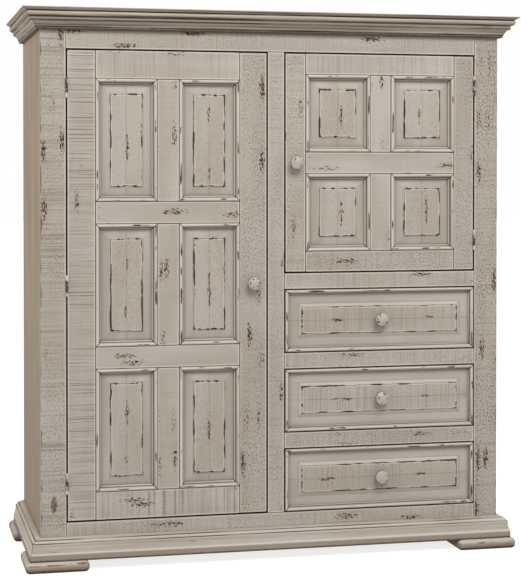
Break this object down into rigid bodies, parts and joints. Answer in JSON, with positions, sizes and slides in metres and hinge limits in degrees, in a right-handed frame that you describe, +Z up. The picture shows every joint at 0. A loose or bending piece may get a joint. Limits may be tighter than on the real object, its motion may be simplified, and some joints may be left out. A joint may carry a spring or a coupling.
{
  "type": "armoire",
  "caption": "Free-standing painted pine armoire: a tall panelled door beside a short panelled door over drawers, with a moulded crown, a moulded base and flat feet.",
  "frame": {"origin": "on the floor, under the middle of the armoire's outline with its crown", "axes": "+Z up, +Y from the front to the back, +X to the right as seen from in front"},
  "size_m": [1.346, 0.553, 1.453],
  "materials": {
    "whitewashed_pine": "distressed whitewash, matte",
    "side_pine": "thin worn whitewash, matte",
    "raw_pine": "bare pine",
    "painted_knob": "chipped paint, satin",
    "worn_hinge_metal": "chipped paint",
    "plated_steel": "plated",
    "catch_plastic": "brown plastic"
  },
  "bodies": {
    "case": {"left_side_panel": "side_pine", "right_side_panel": "side_pine", "back_boards": "raw_pine", "top_panel": "side_pine", "floor_panel": "raw_pine", "partition": "raw_pine", "drawer_deck": "raw_pine", "rear_rail": "raw_pine", "left_post": "whitewashed_pine", "right_post": "whitewashed_pine", "center_stile": "whitewashed_pine", "top_rail": "whitewashed_pine", "bottom_rail": "whitewashed_pine", "middle_rail": "whitewashed_pine", "drawer_rails": "whitewashed_pine", "crown_front": "whitewashed_pine", "crown_left": "whitewashed_pine", "crown_right": "whitewashed_pine", "plinth_front": "whitewashed_pine", "plinth_left": "whitewashed_pine", "plinth_right": "whitewashed_pine", "front_feet": "whitewashed_pine", "rear_feet": "whitewashed_pine", "tall_shelves": "raw_pine", "short_shelf": "raw_pine", "shelf_cleats": "raw_pine", "hinge_frame_leaves": "worn_hinge_metal", "hinge_pins": "worn_hinge_metal", "drawer_runners": "raw_pine", "door_catches": "catch_plastic"},
    "left_door": {"left_door_hinge_stile": "whitewashed_pine", "left_door_knob_stile": "whitewashed_pine", "left_door_rails": "whitewashed_pine", "left_door_muntins": "whitewashed_pine", "left_door_panels": "whitewashed_pine", "left_door_mouldings": "whitewashed_pine", "left_door_knob": "painted_knob", "left_door_hinge_leaves": "worn_hinge_metal", "left_door_strike": "plated_steel"},
    "right_door": {"right_door_hinge_stile": "whitewashed_pine", "right_door_knob_stile": "whitewashed_pine", "right_door_rails": "whitewashed_pine", "right_door_muntins": "whitewashed_pine", "right_door_panels": "whitewashed_pine", "right_door_mouldings": "whitewashed_pine", "right_door_knob": "painted_knob", "right_door_hinge_leaves": "worn_hinge_metal", "right_door_strike": "plated_steel"},
    "bottom_drawer": {"bottom_drawer_front": "whitewashed_pine", "bottom_drawer_mouldings": "whitewashed_pine", "bottom_drawer_box": "raw_pine", "bottom_drawer_knob": "painted_knob"},
    "middle_drawer": {"middle_drawer_front": "whitewashed_pine", "middle_drawer_mouldings": "whitewashed_pine", "middle_drawer_box": "raw_pine", "middle_drawer_knob": "painted_knob"},
    "top_drawer": {"top_drawer_front": "whitewashed_pine", "top_drawer_mouldings": "whitewashed_pine", "top_drawer_box": "raw_pine", "top_drawer_knob": "painted_knob"}
  },
  "joints": [
    {"name": "left_door_hinge", "type": "hinge", "parent": "case", "child": "left_door", "pos_m": [-0.55725, -0.2323, 0.7355], "axis": [0, 0, -1], "range_deg": [0, 170]},
    {"name": "right_door_hinge", "type": "hinge", "parent": "case", "child": "right_door", "pos_m": [0.55725, -0.2323, 1.055], "axis": [0, 0, 1], "range_deg": [0, 170]},
    {"name": "bottom_drawer_slide", "type": "slide", "parent": "case", "child": "bottom_drawer", "axis": [0, -1, 0], "range_m": [0, 0.33]},
    {"name": "middle_drawer_slide", "type": "slide", "parent": "case", "child": "middle_drawer", "axis": [0, -1, 0], "range_m": [0, 0.33]},
    {"name": "top_drawer_slide", "type": "slide", "parent": "case", "child": "top_drawer", "axis": [0, -1, 0], "range_m": [0, 0.33]}
  ]
}
